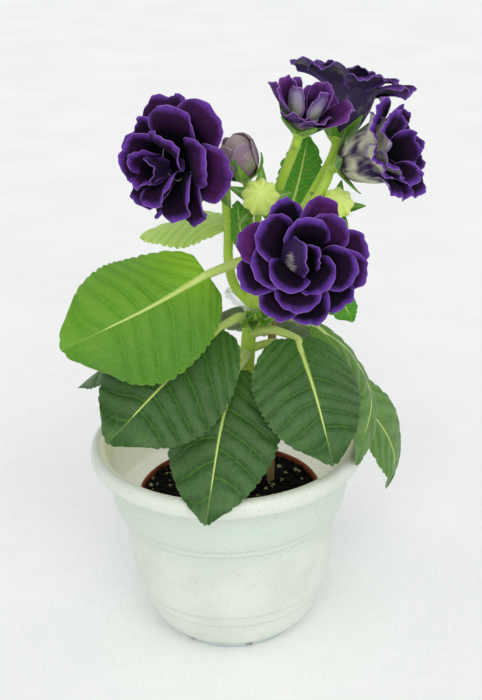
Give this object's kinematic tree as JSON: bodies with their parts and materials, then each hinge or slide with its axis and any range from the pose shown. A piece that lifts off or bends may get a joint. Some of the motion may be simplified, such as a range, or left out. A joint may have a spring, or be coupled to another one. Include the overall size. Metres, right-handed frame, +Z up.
{
  "type": "gloxinia in a pot",
  "caption": "Potted double-flowered gloxinia: ruffled violet blooms and buds on stalks above broad toothed leaves, in a terracotta-coloured inner pot inside a white plastic cachepot.",
  "frame": {"origin": "centre of the small flat pad under the cachepot, on the surface it stands on", "axes": "+Z up along the axis of the two pots; -Y towards the front, where the lowest leaf hangs over the rim; +X to the right as seen from the front"},
  "size_m": [0.1715, 0.1594, 0.2859],
  "materials": {
    "white_plastic": "satin white with fine grey specks",
    "terracotta_plastic": "matte orange-brown",
    "stem": "yellow-green, finely haired",
    "stake_wood": "plain pale split wood",
    "potting_soil": "dark crumbly peat with pale grit",
    "petal_violet": "velvety near-black violet with brighter rims",
    "petal_mauve": "velvety mauve with pale outsides",
    "bud_mauve": "downy mauve-brown",
    "bud_green": "downy light yellow-green",
    "leaf_dark": "quilted dark green with a dull blue-grey sheen",
    "leaf_bright": "quilted bright yellow-green, soft sheen",
    "clear_film": "thin clear film"
  },
  "bodies": {
    "root": {"cachepot": "white_plastic", "nursery_pot": "terracotta_plastic", "stem": "stem", "stake": "stake_wood", "soil": "potting_soil", "bloom_front": "petal_violet", "bloom_left": "petal_violet", "bloom_top": "petal_violet", "bloom_right": "petal_violet", "bloom_small": "petal_mauve", "bud_mauve": "bud_mauve", "bud_green": "bud_green", "bud_green_small": "bud_green", "stalk_front": "stem", "stalk_left": "stem", "stalk_top": "stem", "stalk_right": "stem", "stalk_small": "stem", "stalk_bud_mauve": "stem", "stalk_bud_green": "stem", "stalk_bud_small": "stem", "leaf_left_upper": "leaf_bright", "leaf_left_lower": "leaf_dark", "leaf_front": "leaf_dark", "leaf_right_front": "leaf_dark", "leaf_right_side": "leaf_dark", "leaf_right_hanging": "leaf_dark", "leaf_left_back": "leaf_bright", "leaf_back": "leaf_dark", "leaf_back_left": "leaf_dark", "leaf_back_right": "leaf_dark", "leaflet_upper": "leaf_bright", "leaflet_right": "leaf_bright", "leaflet_left": "leaf_bright", "young_shoot": "leaf_bright", "tie": "clear_film"}
  },
  "joints": []
}
